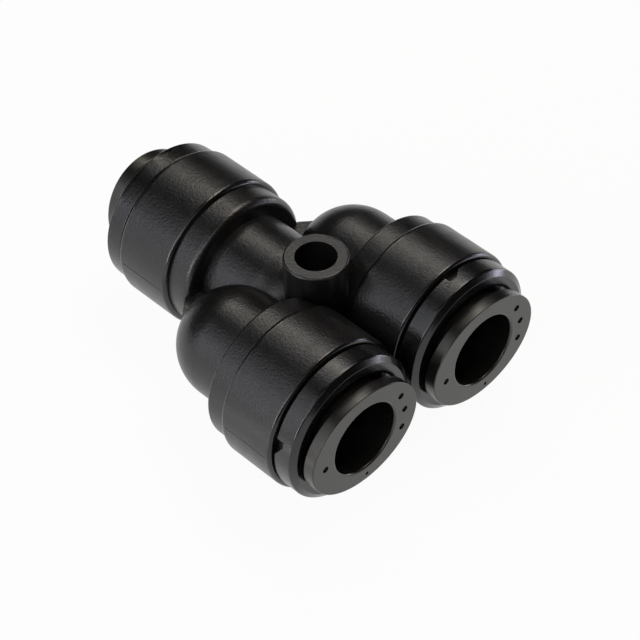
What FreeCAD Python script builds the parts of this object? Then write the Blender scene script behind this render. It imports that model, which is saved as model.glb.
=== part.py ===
import FreeCAD, Part

import math
import os

# Push-fit two-way tube divider, moulded in black acetal: one inlet and two parallel outlets
# for plastic tube, joined round a boss with a through hole for a fixing screw.
#
# Units are mm. +X runs from the inlet to the outlets, +Y across the outlets and +Z is up.
# The origin is on the axis of the mounting hole, at half the height of the body.
#
# Each port is worked out once along its own axis, where s is 0 at the mouth of the socket,
# grows into the body and is negative outside it.

# Tube and running fits
tube_diameter = 10.0
tube_clearance = 0.05        # radial, tube in collet
seat_clearance = 0.15        # radial, tube in the body's seat
tip_clearance = 0.05         # radial, tube to the teeth and to the seal
throat_clearance = 0.15      # radial, collet sleeve in the bush
head_clearance = 0.15        # radial, collet heads in the bush
skirt_clearance = 0.02       # radial, bush pressed into the body
tooth_clearance = 0.02       # tooth in its slot in the collet head
seal_clearance = 0.02        # seal in its groove
stop_clearance = 0.1         # left at each end of the collet's travel

# Walls, all radial
sleeve_wall = 1.7
head_height = 1.2
skirt_wall = 0.8
socket_wall = 1.68
band_step = 0.66
leg_wall = 2.37
boss_wall = 1.46

# Collet
collet_travel = 0.55         # each way from the middle of its play
flange_gap = 0.64            # between flange and bush at the middle of the play
flange_thickness = 1.65
flange_overhang_wide = 2.13
flange_overhang_narrow = 0.48
flange_edge = 0.14
inlet_collet_offset = 0.08   # how far in from the middle of its play each collet rests
left_collet_offset = 0.0
right_collet_offset = 0.0
inlet_collet_turn = -68.0    # about the port's axis
left_collet_turn = 175.4
right_collet_turn = 178.6
collet_mouth_round = 0.3
head_start = 0.05
head_nose = 0.7
head_nose_drop = 0.55
cone_length = 2.9
slot_width = 1.5
slot_start = 1.2
slot_count = 4

# Mark dots on the flange
dot_diameter = 0.9
small_dot_diameter = 0.5
dot_depth = 0.25
dot_pitch_angle = 24.0
dot_inset = 1.7              # from the bore's wall to the dots' centres
small_dot_inset = 1.25

# Teeth
tooth_thickness = 0.35
tooth_slant = 1.3
tooth_tip_depth = 3.6
tooth_cover = 0.55
tooth_span_angle = 54.0

# Bush
bush_nose = 0.53
bush_nose_height = 0.82
bush_lip_inset = 0.52
bush_lip_length = 2.57
bush_groove = 0.3
bush_groove_depth = 0.88
bush_face_width = 1.3
bush_mouth_depth = 0.85
bush_edge = 0.12
bush_lip_round = 0.3
bush_skirt_chamfer = 0.3
bush_end_gap = 0.2
notch_width = 2.5            # where it opens behind the lip
notch_end_width = 0.8
notch_depth = 1.22
notch_height = 0.9
left_notch_angle = 81.2      # of the notch's straight side, about the port's axis
right_notch_angle = 20.1
inlet_notch_angle = -17.0

# Seal
seal_section = 2.36

# Body
socket_depth = 6.0
seal_groove_length = 3.0
seat_length = 6.5
seat_lead_in = 0.4
outlet_band_length = 8.65
inlet_band_length = 8.95
outlet_narrow_length = 3.1
outlet_shoulder_round = 0.4
inlet_narrow_length = 3.75
inlet_shoulder_round = 1.0
mouth_round = 0.5
step_round = 0.55
seam_width = 0.17            # mould's parting line, along the outer sides of the main bands
seam_depth = 0.09
seam_margin = 0.8
outlet_leg_length = 5.45
outlet_merge = 0.38
elbow_gap = 1.9              # from the back of the elbows to the back of the inlet socket
web_thickness = 2.2
web_cover = 0.5              # of the inlet socket's back by the web's corner
web_bite = 0.3               # how far the web's edge runs into the elbow's round
flow_bore = 6.8
cross_bore = 4.8
flow_bore_overrun = 0.3      # past the back of the cross bore
hole_diameter = 5.4
hole_wall = 1.5              # between the mounting hole and the cross bore
boss_gap = 0.34              # between the boss and the outlets' main bands
boss_rise = 0.2              # of each end of the boss above the sockets
boss_edge = 0.25

# Radii that follow
tube_r = tube_diameter / 2
collet_bore_r = tube_r + tube_clearance
sleeve_r = collet_bore_r + sleeve_wall
throat_r = sleeve_r + throat_clearance
head_r = sleeve_r + head_height
bush_inner_r = head_r + head_clearance
skirt_r = bush_inner_r + skirt_wall
socket_r = skirt_r + skirt_clearance
main_r = socket_r + socket_wall
band_r = main_r - band_step
seat_r = tube_r + seat_clearance
leg_r = seat_r + leg_wall
tip_r = tube_r + tip_clearance
seal_outer_r = tip_r + seal_section
seal_groove_r = seal_outer_r + seal_clearance
lip_r = main_r - bush_lip_inset
flow_r = flow_bore / 2
cross_r = cross_bore / 2
hole_r = hole_diameter / 2
boss_r = hole_r + boss_wall

# Places along a port
outlet_socket_length = outlet_band_length + outlet_narrow_length
inlet_socket_length = inlet_band_length + inlet_narrow_length
seal_groove_end = socket_depth + seal_groove_length
tube_stop = seal_groove_end + seat_length
bush_lip_front = bush_groove + bush_lip_length
bush_front = bush_lip_front + bush_nose
flange_back = bush_front + flange_gap
collet_front = flange_back + flange_thickness

# Places in the body
outlet_y = main_r - outlet_merge / 2
outlet_mouth_x = boss_r + boss_gap + outlet_band_length
elbow_x = outlet_mouth_x - outlet_socket_length - outlet_leg_length
inlet_back_x = elbow_x - leg_r - elbow_gap
inlet_mouth_x = inlet_back_x - inlet_socket_length
cross_x = -(hole_r + hole_wall + cross_r)
boss_top = main_r + boss_rise

PORTS = {
    "inlet": {
        "mouth": (inlet_mouth_x, 0, 0),
        "inward": 1,
        "band_length": inlet_band_length,
        "socket_length": inlet_socket_length,
        "shoulder": inlet_shoulder_round,
        "leg_end": cross_x - inlet_mouth_x,
        "flow_end": cross_x - inlet_mouth_x,
        "seams": (1, -1),
        "notch": inlet_notch_angle,
        "notch_lean": 1,
        "offset": inlet_collet_offset,
        "turn": inlet_collet_turn,
    },
}
for side, sign in (("left", 1), ("right", -1)):
    PORTS[side] = {
        "mouth": (outlet_mouth_x, sign * outlet_y, 0),
        "inward": -1,
        "band_length": outlet_band_length,
        "socket_length": outlet_socket_length,
        "shoulder": outlet_shoulder_round,
        "leg_end": outlet_mouth_x - elbow_x,
        "flow_end": outlet_mouth_x - (cross_x - cross_r - flow_bore_overrun),
        "seams": (-sign,),
    }
PORTS["left"].update(notch=left_notch_angle, offset=left_collet_offset, turn=left_collet_turn)
PORTS["left"]["notch_lean"] = 1
PORTS["right"].update(notch=right_notch_angle, offset=right_collet_offset, turn=right_collet_turn)
PORTS["right"]["notch_lean"] = -1


def rounded_wire(corners):
    """Closed wire in the XY plane through (s, r, round) corners."""
    points = [FreeCAD.Vector(s, r, 0) for s, r, _ in corners]
    edges = []
    starts = []
    ends = []
    for i, (_, _, radius) in enumerate(corners):
        here = points[i]
        before = (points[i - 1] - here).normalize()
        after = (points[(i + 1) % len(points)] - here).normalize()
        if radius == 0:
            starts.append(here)
            ends.append(here)
            continue
        half = before.getAngle(after) / 2
        reach = radius / math.tan(half)
        middle = (before + after).normalize() * (radius / math.sin(half) - radius)
        starts.append(here + before * reach)
        ends.append(here + after * reach)
        edges.append(Part.Arc(starts[i], here + middle, ends[i]).toShape())
    for i in range(len(points)):
        edges.append(Part.makeLine(ends[i], starts[(i + 1) % len(points)]))
    return Part.Wire(Part.__sortEdges__(edges))


def turned(corners, sweep=360.0):
    """Solid of revolution about the port's axis."""
    face = Part.Face(rounded_wire(corners))
    return face.revolve(FreeCAD.Vector(0, 0, 0), FreeCAD.Vector(1, 0, 0), sweep)


def at_port(shape, port):
    """Move a shape from the port's own axis to its place in the body."""
    placed = shape.copy()
    if port["inward"] < 0:
        placed.rotate(FreeCAD.Vector(0, 0, 0), FreeCAD.Vector(0, 0, 1), 180)
    placed.translate(FreeCAD.Vector(*port["mouth"]))
    return placed


def about_axis(shape, angle):
    spun = shape.copy()
    spun.rotate(FreeCAD.Vector(0, 0, 0), FreeCAD.Vector(1, 0, 0), angle)
    return spun


def rod(radius, start, end):
    """Cylinder on the port's axis, from start to end."""
    return Part.makeCylinder(radius, end - start, FreeCAD.Vector(start, 0, 0), FreeCAD.Vector(1, 0, 0))


def port_outside(port):
    """Socket with its two bands and a round-ended leg behind it."""
    back = port["socket_length"]
    socket = turned([
        (0, 0, 0),
        (0, main_r, mouth_round),
        (port["band_length"], main_r, step_round),
        (port["band_length"], band_r, 0),
        (back, band_r, port["shoulder"]),
        (back, 0, 0),
    ])
    leg = rod(leg_r, back / 2, port["leg_end"])
    dome = Part.makeSphere(leg_r, FreeCAD.Vector(port["leg_end"], 0, 0))
    return socket.fuse([leg, dome])


def port_inside(flow_end):
    """Stepped bore of a port: bush socket, seal groove, tube seat and flow bore."""
    return turned([
        (-mouth_round, 0, 0),
        (-mouth_round, socket_r, 0),
        (socket_depth, socket_r, 0),
        (socket_depth, seal_groove_r, 0),
        (seal_groove_end, seal_groove_r, 0),
        (seal_groove_end, seat_r + seat_lead_in, 0),
        (seal_groove_end + seat_lead_in, seat_r, 0),
        (tube_stop, seat_r, 0),
        (tube_stop, flow_r, 0),
        (flow_end, flow_r, 0),
        (flow_end, 0, 0),
    ])


def web(side):
    """Flat gusset from the back of the inlet socket to one elbow, where its edge meets the round."""
    corner = FreeCAD.Vector(inlet_back_x - web_cover, side * band_r, 0)
    centre = FreeCAD.Vector(elbow_x, side * outlet_y, 0)
    reach = centre - corner
    touch_r = leg_r - web_bite
    half_angle = math.asin(touch_r / reach.Length)
    tangent_length = math.sqrt(reach.Length ** 2 - touch_r ** 2)
    bearing = math.atan2(reach.y, reach.x) + side * half_angle
    touch = corner + FreeCAD.Vector(math.cos(bearing), math.sin(bearing), 0) * tangent_length
    outline = [corner, touch, centre, FreeCAD.Vector(elbow_x, 0, 0), FreeCAD.Vector(corner.x, 0, 0), corner]
    plate = Part.Face(Part.makePolygon(outline)).extrude(FreeCAD.Vector(0, 0, web_thickness))
    plate.translate(FreeCAD.Vector(0, 0, -web_thickness / 2))
    return plate


def seam(port, side):
    """Cutter for the fine V-shaped parting line on one side of a port's main band."""
    start = FreeCAD.Vector(seam_margin, 0, 0)
    profile = [
        start + FreeCAD.Vector(0, side * (main_r - seam_depth), 0),
        start + FreeCAD.Vector(0, side * (main_r + seam_depth), seam_width),
        start + FreeCAD.Vector(0, side * (main_r + seam_depth), -seam_width),
    ]
    length = port["band_length"] - 2 * seam_margin
    return Part.Face(Part.makePolygon(profile + profile[:1])).extrude(FreeCAD.Vector(length, 0, 0))


def boss():
    up = FreeCAD.Vector(0, 0, 1)
    post = Part.makeCylinder(boss_r, 2 * boss_top, FreeCAD.Vector(0, 0, -boss_top), up)
    rims = [edge for edge in post.Edges if isinstance(edge.Curve, Part.Circle)]
    return post.makeFillet(boss_edge, rims)


def make_body():
    outside = [at_port(port_outside(port), port) for port in PORTS.values()]
    solid = outside[0].fuse(outside[1:] + [web(1), web(-1), boss()])
    inside = [at_port(port_inside(port["flow_end"]), port) for port in PORTS.values()]
    across = Part.makeCylinder(cross_r, 2 * outlet_y, FreeCAD.Vector(cross_x, -outlet_y, 0),
                               FreeCAD.Vector(0, 1, 0))
    hole = Part.makeCylinder(hole_r, 4 * boss_top, FreeCAD.Vector(0, 0, -2 * boss_top), FreeCAD.Vector(0, 0, 1))
    seams = [at_port(seam(port, side), port) for port in PORTS.values() for side in port["seams"]]
    return solid.cut(inside + [across, hole] + seams).removeSplitter()


def cone_start():
    """Where the bush's inner cone leaves its throat."""
    return head_start - stop_clearance - collet_travel + (throat_r - sleeve_r) / cone_slope()


def cone_slope():
    return (bush_inner_r - throat_r) / cone_length


def make_bush(port):
    start = cone_start()
    ring = turned([
        (-bush_front, lip_r - bush_nose_height, bush_edge),
        (-bush_lip_front, lip_r, bush_lip_round),
        (-bush_groove, lip_r, bush_edge),
        (-bush_groove, lip_r - bush_groove_depth, 0),
        (0, lip_r - bush_groove_depth, 0),
        (0, skirt_r, 0),
        (socket_depth - bush_end_gap - bush_skirt_chamfer, skirt_r, 0),
        (socket_depth - bush_end_gap, skirt_r - bush_skirt_chamfer, 0),
        (socket_depth - bush_end_gap, bush_inner_r, 0),
        (start + cone_length, bush_inner_r, 0),
        (start, throat_r, 0),
        (-bush_front + bush_mouth_depth, throat_r, 0),
        (-bush_front, lip_r - bush_nose_height - bush_face_width, 0),
    ])
    lean = port["notch_lean"]
    outline = [
        FreeCAD.Vector(-bush_groove, 0, 0),
        FreeCAD.Vector(-bush_groove - notch_depth, 0, 0),
        FreeCAD.Vector(-bush_groove - notch_depth, 0, lean * notch_end_width),
        FreeCAD.Vector(-bush_groove, 0, lean * notch_width),
    ]
    notch = Part.Face(Part.makePolygon(outline + outline[:1])).extrude(FreeCAD.Vector(0, 2 * lip_r, 0))
    notch = notch.cut(rod(lip_r - notch_height, -bush_lip_front, 0))
    return ring.cut(about_axis(notch, port["notch"]))


def tooth_profile(clearance, tip):
    """Slanted blade from the root in the head down to the given tip radius."""
    root = head_r - head_height + tooth_cover + clearance
    lean = tooth_slant / (sleeve_r + tooth_cover - tip_r)
    root_s = tooth_tip_depth - (root - tip_r) * lean
    tip_s = tooth_tip_depth - (tip - tip_r) * lean
    return [
        (root_s - clearance, root, 0),
        (root_s + tooth_thickness + clearance, root, 0),
        (tip_s + tooth_thickness + clearance, tip, 0),
        (tip_s - clearance, tip, 0),
    ]


def make_tooth(index, clearance=0.0, tip=tip_r):
    span = tooth_span_angle + 2 * math.degrees(clearance / tube_r)
    blade = turned(tooth_profile(clearance, tip), span)
    return about_axis(blade, index * 360.0 / slot_count - span / 2)


def make_flange():
    ellipse = Part.Ellipse(FreeCAD.Vector(0, 0, 0), sleeve_r + flange_overhang_wide,
                           sleeve_r + flange_overhang_narrow).toShape()
    plate = Part.Face(Part.Wire([ellipse])).extrude(FreeCAD.Vector(0, 0, flange_thickness))
    rims = [edge for edge in plate.Edges if isinstance(edge.Curve, Part.Ellipse)]
    plate = plate.makeFillet(flange_edge, rims)
    plate.rotate(FreeCAD.Vector(0, 0, 0), FreeCAD.Vector(0, 0, 1), 90)
    plate.rotate(FreeCAD.Vector(0, 0, 0), FreeCAD.Vector(0, 1, 0), 90)
    plate.translate(FreeCAD.Vector(-collet_front, 0, 0))
    return plate


def flange_dots():
    """Blind dots on the flange's face: three on one side of the bore, one opposite and a small one between."""
    marks = [(angle, dot_inset, dot_diameter) for angle in (-dot_pitch_angle, 0.0, dot_pitch_angle, 180.0)]
    marks.append((90.0, small_dot_inset, small_dot_diameter))
    dots = []
    for angle, inset, diameter in marks:
        centre = FreeCAD.Vector(-collet_front, collet_bore_r + inset, 0)
        dot = Part.makeCylinder(diameter / 2, dot_depth, centre, FreeCAD.Vector(1, 0, 0))
        dots.append(about_axis(dot, angle))
    return dots


def make_collet():
    slope = cone_slope()
    cone_top = head_start + (head_r - sleeve_r) / slope
    tail = socket_depth - collet_travel - stop_clearance
    sleeve = turned([
        (-flange_back - flange_thickness / 2, 0, 0),
        (-flange_back - flange_thickness / 2, sleeve_r, 0),
        (head_start, sleeve_r, 0),
        (cone_top, head_r, 0),
        (tail - head_nose, head_r, 0),
        (tail, head_r - head_nose_drop, 0),
        (tail, 0, 0),
    ])
    bore = turned([
        (-collet_front - collet_mouth_round, 0, 0),
        (-collet_front - collet_mouth_round, collet_bore_r + 2 * collet_mouth_round, 0),
        (-collet_front, collet_bore_r + 2 * collet_mouth_round, 0),
        (-collet_front, collet_bore_r, collet_mouth_round),
        (tail, collet_bore_r, 0),
        (tail, 0, 0),
    ])
    slot = Part.makeBox(slot_start + tail, 4 * head_r, slot_width,
                        FreeCAD.Vector(-slot_start, -2 * head_r, -slot_width / 2))
    half_turn = 180.0 / slot_count
    slots = [about_axis(slot, half_turn + i * 2 * half_turn) for i in range(slot_count // 2)]
    pockets = [make_tooth(i, tooth_clearance, tube_r) for i in range(slot_count)]
    return make_flange().fuse(sleeve).cut([bore] + slots + pockets + flange_dots()).removeSplitter()


def make_seal():
    centre_r = tip_r + seal_section / 2
    middle = seal_groove_end - seal_clearance - seal_section / 2
    return Part.makeTorus(centre_r, seal_section / 2, FreeCAD.Vector(middle, 0, 0), FreeCAD.Vector(1, 0, 0))


def grip(shape, port):
    """Place a collet or tooth in its port, turned and offset as that collet rests."""
    turned_shape = about_axis(shape, port["turn"])
    turned_shape.translate(FreeCAD.Vector(port["offset"], 0, 0))
    return at_port(turned_shape, port)


def write(name, shape):
    if shape.ShapeType != "Solid" and len(shape.Solids) == 1:
        shape = shape.Solids[0]
    shape.exportStep("parts/" + name + ".step")
    print(name, len(shape.Solids), "solid", "valid" if shape.isValid() else "NOT VALID", round(shape.Volume, 2))


os.makedirs("parts", exist_ok=True)
write("body", make_body())
collet = make_collet()
seal = make_seal()
for name, port in PORTS.items():
    write(name + "_bush", at_port(make_bush(port), port))
    write(name + "_collet", grip(collet, port))
    write(name + "_o_ring", at_port(seal, port))
    for i in range(slot_count):
        write(name + "_tooth_" + str(i + 1), grip(make_tooth(i), port))
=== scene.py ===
import math

import bpy
from mathutils import Matrix, Vector


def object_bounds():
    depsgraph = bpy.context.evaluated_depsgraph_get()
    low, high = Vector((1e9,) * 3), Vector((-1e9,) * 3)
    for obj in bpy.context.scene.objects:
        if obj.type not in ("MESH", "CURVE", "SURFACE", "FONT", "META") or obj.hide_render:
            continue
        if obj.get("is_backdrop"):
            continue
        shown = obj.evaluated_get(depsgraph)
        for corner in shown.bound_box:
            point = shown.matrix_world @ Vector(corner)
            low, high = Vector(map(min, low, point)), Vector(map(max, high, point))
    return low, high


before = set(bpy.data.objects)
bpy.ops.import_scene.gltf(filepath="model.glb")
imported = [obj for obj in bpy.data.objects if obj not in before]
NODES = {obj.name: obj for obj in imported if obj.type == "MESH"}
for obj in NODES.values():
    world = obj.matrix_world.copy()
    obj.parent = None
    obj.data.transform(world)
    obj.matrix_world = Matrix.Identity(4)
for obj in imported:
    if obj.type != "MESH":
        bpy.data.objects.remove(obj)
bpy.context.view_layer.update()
MM = 0.001
MICRON = 0.000001

# Camera, fitted to the photograph's circles and outline: angles in degrees, lengths in mm
VIEW_AZIMUTH = -43.044
VIEW_ELEVATION = 44.815
VIEW_ROLL = -1.892
VIEW_DISTANCE = 306.319
VIEW_RIGHT = 0.2426
VIEW_UP = -0.2061
LENS = 136.279
SENSOR = 36.0
NEAR_CLIP = 10.0
FAR_CLIP = 10000.0

# Lengths along each port in mm, as in the part's source
INLET_BAND = 8.95
OUTLET_BAND = 8.65
BUSH_NOSE = 0.53
# How far the mould's polish reaches from an edge in mm, and the slack that takes in a bush's front
POLISH = 0.55
SLACK = 0.07

# Noises in cells per metre: the plastic's tint, its gloss and its low waves
TINT_SCALE = 260.0
GLOSS_SCALE = 598.0
WAVE_SCALE = 442.0
# Where a noise's values mostly lie, and where its colours turn from dark to light
NOISE_LOW = 0.35
NOISE_HIGH = 0.65
DARK_UP_TO = 0.3
LIGHT_FROM = 0.7
# What the polish leaves of the plastic's roughness and of its grain
POLISHED_ROUGHNESS = 0.7
POLISHED_GRAIN = 0.3

# Floor: half its side in metres, its gap under the part in mm, its grey and its roughness, and the
# share of white that the camera and reflections see in it
FLOOR_HALF = 1.6
FLOOR_GAP = 0.02
FLOOR_GREY = 0.86
FLOOR_ROUGHNESS = 0.9
FLOOR_WHITE = 0.95

# Softboxes: azimuth from +X towards +Y and elevation in degrees, width and height in metres, watts, colour
SOFTBOX_DISTANCE = 0.8
SOFTBOXES = {
    "back_top": (80, 68, 0.36, 0.30, 2.1, (1.00, 0.88, 0.81)),
    "left_low": (262, 8, 0.30, 0.20, 1.3, (1.00, 0.93, 0.97)),
    "left_rise": (300, 36, 0.55, 0.26, 1.2, (1.00, 0.98, 1.00)),
    "left_middle": (270, 24, 0.45, 0.24, 1.1, (1.00, 0.99, 0.98)),
    "right_low": (78, 5, 0.24, 0.14, 0.8, (0.95, 0.87, 1.00)),
    "back_key": (120, 54, 0.34, 0.26, 0.75, (1.00, 0.97, 0.97)),
    "left_high": (242, 44, 0.40, 0.36, 0.6, (0.91, 0.94, 1.00)),
    "left_back": (236, 14, 0.30, 0.36, 0.5, (0.88, 0.91, 1.00)),
    "back_high": (147, 50, 0.16, 0.14, 0.35, (1.00, 0.96, 0.82)),
    "front_top": (320, 56, 0.40, 0.26, 0.25, (1.00, 1.00, 0.90)),
    "back_rise": (164, 57, 0.16, 0.14, 0.17, (1.00, 0.99, 0.96)),
    "left_edge": (234, 26, 0.18, 0.18, 0.12, (0.91, 0.87, 1.00)),
    "right_top": (20, 68, 0.40, 0.30, 0.1, (1.00, 0.85, 0.45)),
    "left_top": (182, 60, 0.18, 0.18, 0.06, (0.96, 0.90, 1.00)),
}
# Light panels that lie on the floor: azimuth, distance and side in mm, watts, colour
PANEL_LIFT = 0.3
PANELS = {
    "panel_back": (60, 150, 80, 0.15, (0.82, 0.78, 1.00)),
    "panel_left": (270, 60, 30, 0.003, (1.00, 1.00, 1.00)),
}


def direction(azimuth, elevation=0.0):
    """Unit vector at an azimuth from +X towards +Y and an elevation, both in degrees."""
    turn = math.radians(azimuth)
    rise = math.radians(elevation)
    return Vector((math.cos(turn) * math.cos(rise), math.sin(turn) * math.cos(rise), math.sin(rise)))


def make_camera():
    back = direction(VIEW_AZIMUTH, VIEW_ELEVATION)
    level = direction(VIEW_AZIMUTH + 90)
    upright = back.cross(level)
    roll = math.radians(VIEW_ROLL)
    right = level * math.cos(roll) + upright * math.sin(roll)
    up = upright * math.cos(roll) - level * math.sin(roll)
    data = bpy.data.cameras.new("camera")
    data.sensor_width = SENSOR
    data.lens = LENS
    data.clip_start = NEAR_CLIP * MM
    data.clip_end = FAR_CLIP * MM
    camera = bpy.data.objects.new("camera", data)
    bpy.context.scene.collection.objects.link(camera)
    camera.matrix_world = Matrix((right, up, back)).transposed().to_4x4()
    camera.location = (right * VIEW_RIGHT + up * VIEW_UP + back * VIEW_DISTANCE) * MM
    bpy.context.scene.camera = camera


class Net:
    """A node material in the making, with its textures in the object's own coordinates."""

    def __init__(self, name):
        self.material = bpy.data.materials.new(name)
        self.material.use_nodes = True
        self.nodes = self.material.node_tree.nodes
        self.links = self.material.node_tree.links
        self.shader = self.nodes["Principled BSDF"]
        self.place = self.nodes.new("ShaderNodeTexCoord").outputs["Object"]

    def link(self, source, target):
        self.links.new(source, target)

    def noise(self, scale, detail=2.0, roughness=0.5, stretch=None):
        """Noise of so many cells per metre, which stretch multiplies along each axis."""
        node = self.nodes.new("ShaderNodeTexNoise")
        node.inputs["Scale"].default_value = scale
        node.inputs["Detail"].default_value = detail
        node.inputs["Roughness"].default_value = roughness
        place = self.place
        if stretch:
            mapping = self.nodes.new("ShaderNodeMapping")
            mapping.inputs["Scale"].default_value = stretch
            self.link(place, mapping.inputs["Vector"])
            place = mapping.outputs["Vector"]
        self.link(place, node.inputs["Vector"])
        return node.outputs["Fac"]

    def spread(self, value, low, high, start=NOISE_LOW, end=NOISE_HIGH):
        """Number that goes from low to high while the value goes from start to end."""
        node = self.nodes.new("ShaderNodeMapRange")
        node.inputs["From Min"].default_value = start
        node.inputs["From Max"].default_value = end
        node.inputs["To Min"].default_value = low
        node.inputs["To Max"].default_value = high
        self.link(value, node.inputs["Value"])
        return node.outputs["Result"]

    def colours(self, value, dark, light):
        """Colour that goes from dark to light with the value."""
        node = self.nodes.new("ShaderNodeValToRGB")
        first, last = node.color_ramp.elements
        first.position = DARK_UP_TO
        first.color = (*dark, 1)
        last.position = LIGHT_FROM
        last.color = (*light, 1)
        self.link(value, node.inputs["Fac"])
        return node.outputs["Color"]

    def between(self, spans, inside):
        """Number that is inside where X in mm lies in one of the spans, and 1 elsewhere."""
        margin = 5.0
        start = spans[0][0] - margin
        end = spans[-1][1] + margin
        split = self.nodes.new("ShaderNodeSeparateXYZ")
        self.link(self.place, split.inputs["Vector"])
        along = self.spread(split.outputs["X"], 0, 1, start * MM, end * MM)
        node = self.nodes.new("ShaderNodeValToRGB")
        node.color_ramp.interpolation = "CONSTANT"
        ramp = node.color_ramp.elements
        ramp.remove(ramp[1])
        ramp[0].color = (1, 1, 1, 1)
        for first, last in spans:
            ramp.new((first - start) / (end - start)).color = (inside, inside, inside, 1)
            ramp.new((last - start) / (end - start)).color = (1, 1, 1, 1)
        self.link(along, node.inputs["Fac"])
        return node.outputs["Color"]

    def times(self, one, other):
        node = self.nodes.new("ShaderNodeMath")
        node.operation = "MULTIPLY"
        self.link(one, node.inputs[0])
        self.link(other, node.inputs[1])
        return node.outputs["Value"]

    def bump(self, height, depth, under=None):
        """Normal of a relief with a depth in microns, over the normal under it."""
        node = self.nodes.new("ShaderNodeBump")
        node.inputs["Strength"].default_value = 1.0
        node.inputs["Distance"].default_value = depth * MICRON
        self.link(height, node.inputs["Height"])
        if under:
            self.link(under, node.inputs["Normal"])
        return node.outputs["Normal"]

    def surface(self, colour, roughness, normal):
        """The material, with the given colour, roughness and normal."""
        self.link(colour, self.shader.inputs["Base Color"])
        self.link(roughness, self.shader.inputs["Roughness"])
        self.link(normal, self.shader.inputs["Normal"])
        return self.material


def reach(name):
    """Lowest and highest X of a node's mesh in mm, rounded to the micron."""
    along = [vertex.co.x / MM for vertex in NODES[name].data.vertices]
    return round(min(along), 3), round(max(along), 3)


def band_rims():
    """Spans of X in mm at both ends of each wide band, which starts at an end of the body."""
    inlet, outlet = reach("body")
    inlet_step = inlet + INLET_BAND
    outlet_step = outlet - OUTLET_BAND
    return [(inlet, inlet + POLISH), (inlet_step - POLISH, inlet_step),
            (outlet_step, outlet_step + POLISH), (outlet - POLISH, outlet)]


def bush_lips():
    """Spans of X in mm from the front of each bush to behind the front edge of its lip."""
    inlet = reach("inlet_bush")[0]
    outlet = reach("left_bush")[1]
    depth = BUSH_NOSE + POLISH
    return [(inlet - SLACK, inlet + depth), (outlet - depth, outlet + SLACK)]


def plastic(name, dark, light, rough, grain, depth, waves, ior=1.54, tint=(1, 1, 1), polished=None):
    """Moulded acetal: a spark-eroded grain over low waves, with dark and light patches.

    rough is the range of its roughness and grain the size of the grain in mm. depth and waves are the
    depths of the grain and the waves in microns. polished lists the spans of X in mm where the mould
    is polished."""
    net = Net(name)
    net.shader.inputs["IOR"].default_value = ior
    net.shader.inputs["Specular Tint"].default_value = (*tint, 1)
    colour = net.colours(net.noise(TINT_SCALE, detail=3.0), dark, light)
    roughness = net.spread(net.noise(GLOSS_SCALE, detail=4.0, roughness=0.6), *rough)
    height = net.noise(1 / (grain * MM), detail=1.0)
    if polished:
        roughness = net.times(roughness, net.between(polished, POLISHED_ROUGHNESS))
        height = net.times(height, net.between(polished, POLISHED_GRAIN))
    fine = net.bump(height, depth)
    return net.surface(colour, roughness, net.bump(net.noise(WAVE_SCALE), waves, under=fine))


def moulded_body():
    return plastic("moulded_body", dark=(0.0035, 0.0035, 0.0036), light=(0.0065, 0.0064, 0.0062),
                   rough=(0.30, 0.36), grain=0.34, depth=32.0, waves=6.0, polished=band_rims())


def moulded_bush():
    return plastic("moulded_bush", dark=(0.0032, 0.0032, 0.0034), light=(0.0058, 0.0058, 0.0058),
                   rough=(0.24, 0.30), grain=0.30, depth=24.0, waves=2.0, polished=bush_lips())


def moulded_collet():
    return plastic("moulded_collet", dark=(0.0040, 0.0040, 0.0040), light=(0.0068, 0.0067, 0.0065),
                   rough=(0.27, 0.32), grain=0.24, depth=8.0, waves=2.0, ior=1.61, tint=(1.00, 0.99, 0.90))


def greased_seal():
    net = Net("greased_seal")
    net.shader.inputs["IOR"].default_value = 1.5
    colour = net.colours(net.noise(scale=500.0), dark=(0.010, 0.010, 0.010), light=(0.016, 0.016, 0.016))
    roughness = net.spread(net.noise(scale=900.0, detail=3.0), low=0.25, high=0.45)
    return net.surface(colour, roughness, net.bump(net.noise(scale=7000.0), depth=4.0))


def stamped_teeth():
    """Stainless steel with fine marks that are drawn out along X."""
    net = Net("stamped_teeth")
    net.shader.inputs["Metallic"].default_value = 1.0
    patches = net.noise(scale=700.0, detail=3.0)
    colour = net.colours(patches, dark=(0.52, 0.51, 0.49), light=(0.66, 0.65, 0.63))
    drawn = net.noise(scale=900.0, detail=4.0, roughness=0.6, stretch=(1.0, 12.0, 12.0))
    return net.surface(colour, net.spread(drawn, low=0.22, high=0.4), net.bump(drawn, depth=4.0))


def dress():
    looks = {
        "body": moulded_body(),
        "bush": moulded_bush(),
        "collet": moulded_collet(),
        "o_ring": greased_seal(),
        "tooth": stamped_teeth(),
    }
    for name, node in NODES.items():
        key = next(k for k in looks if k in name)
        node.data.materials.clear()
        node.data.materials.append(looks[key])


def show_by(tree, share, shader, white, output):
    """Links the named output to a mix that goes from the shader to the white one by the share."""
    mix = tree.nodes.new("ShaderNodeMixShader")
    tree.links.new(share, mix.inputs["Fac"])
    tree.links.new(shader, mix.inputs[1])
    tree.links.new(white, mix.inputs[2])
    tree.links.new(mix.outputs["Shader"], tree.nodes[output].inputs["Surface"])


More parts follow.
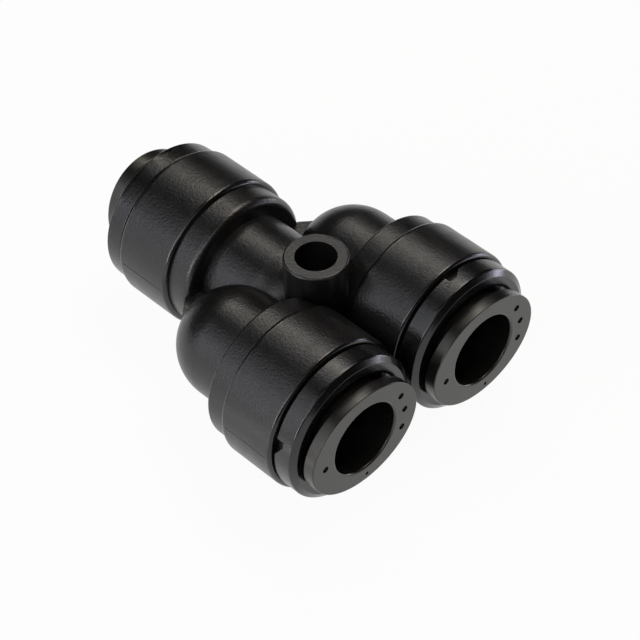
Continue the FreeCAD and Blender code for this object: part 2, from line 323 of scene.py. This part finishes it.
def floor_white():
    """Pale material that the camera and reflections see as white, with a little shadow in it."""
    material = bpy.data.materials.new("floor_white")
    material.use_nodes = True
    tree = material.node_tree
    shader = tree.nodes["Principled BSDF"]
    shader.inputs["Base Color"].default_value = (FLOOR_GREY, FLOOR_GREY, FLOOR_GREY, 1)
    shader.inputs["Roughness"].default_value = FLOOR_ROUGHNESS
    white = tree.nodes.new("ShaderNodeEmission").outputs["Emission"]
    path = tree.nodes.new("ShaderNodeLightPath")
    seen = tree.nodes.new("ShaderNodeMath")
    seen.operation = "ADD"
    tree.links.new(path.outputs["Is Camera Ray"], seen.inputs[0])
    tree.links.new(path.outputs["Is Glossy Ray"], seen.inputs[1])
    share = tree.nodes.new("ShaderNodeMath")
    share.operation = "MULTIPLY"
    share.inputs[1].default_value = FLOOR_WHITE
    tree.links.new(seen.outputs["Value"], share.inputs[0])
    show_by(tree, share.outputs["Value"], shader.outputs["BSDF"], white, "Material Output")
    return material


def make_stage():
    """Floor under the part; returns its height in metres."""
    floor_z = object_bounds()[0].z - FLOOR_GAP * MM
    sides = [(-1, -1), (1, -1), (1, 1), (-1, 1)]
    mesh = bpy.data.meshes.new("floor")
    mesh.from_pydata([(FLOOR_HALF * x, FLOOR_HALF * y, floor_z) for x, y in sides], [], [(0, 1, 2, 3)])
    mesh.materials.append(floor_white())
    floor = bpy.data.objects.new("floor", mesh)
    bpy.context.scene.collection.objects.link(floor)
    floor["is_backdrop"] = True
    return floor_z


def make_world():
    """World that the camera sees as white and that gives no light."""
    world = bpy.data.worlds.new("studio")
    world.use_nodes = True
    tree = world.node_tree
    dark = tree.nodes["Background"]
    dark.inputs["Strength"].default_value = 0.0
    white = tree.nodes.new("ShaderNodeBackground")
    white.inputs["Color"].default_value = (1, 1, 1, 1)
    white.inputs["Strength"].default_value = 1.0
    seen = tree.nodes.new("ShaderNodeLightPath").outputs["Is Camera Ray"]
    show_by(tree, seen, dark.outputs["Background"], white.outputs["Background"], "World Output")
    bpy.context.scene.world = world


def area_light(name, place, away, size, power, colour):
    """Rectangular lamp at a place, which shines the opposite way to away."""
    data = bpy.data.lights.new(name, "AREA")
    data.shape = "RECTANGLE"
    data.size, data.size_y = size
    data.energy = power
    data.color = colour
    lamp = bpy.data.objects.new(name, data)
    lamp.location = place
    lamp.rotation_mode = "QUATERNION"
    lamp.rotation_quaternion = away.to_track_quat("Z", "Y")
    bpy.context.scene.collection.objects.link(lamp)
    return lamp


def make_lamps(floor_z):
    for name, (azimuth, elevation, width, height, power, colour) in SOFTBOXES.items():
        away = direction(azimuth, elevation)
        area_light(name, away * SOFTBOX_DISTANCE, away, (width, height), power, colour)
    down = Vector((0, 0, -1))
    for name, (azimuth, distance, side, power, colour) in PANELS.items():
        place = direction(azimuth) * distance * MM
        place.z = floor_z + PANEL_LIFT * MM
        panel = area_light(name, place, down, (side * MM, side * MM), power, colour)
        panel.visible_camera = False


make_camera()
dress()
floor_height = make_stage()
make_world()
make_lamps(floor_height)
bpy.context.scene.view_settings.view_transform = "Standard"
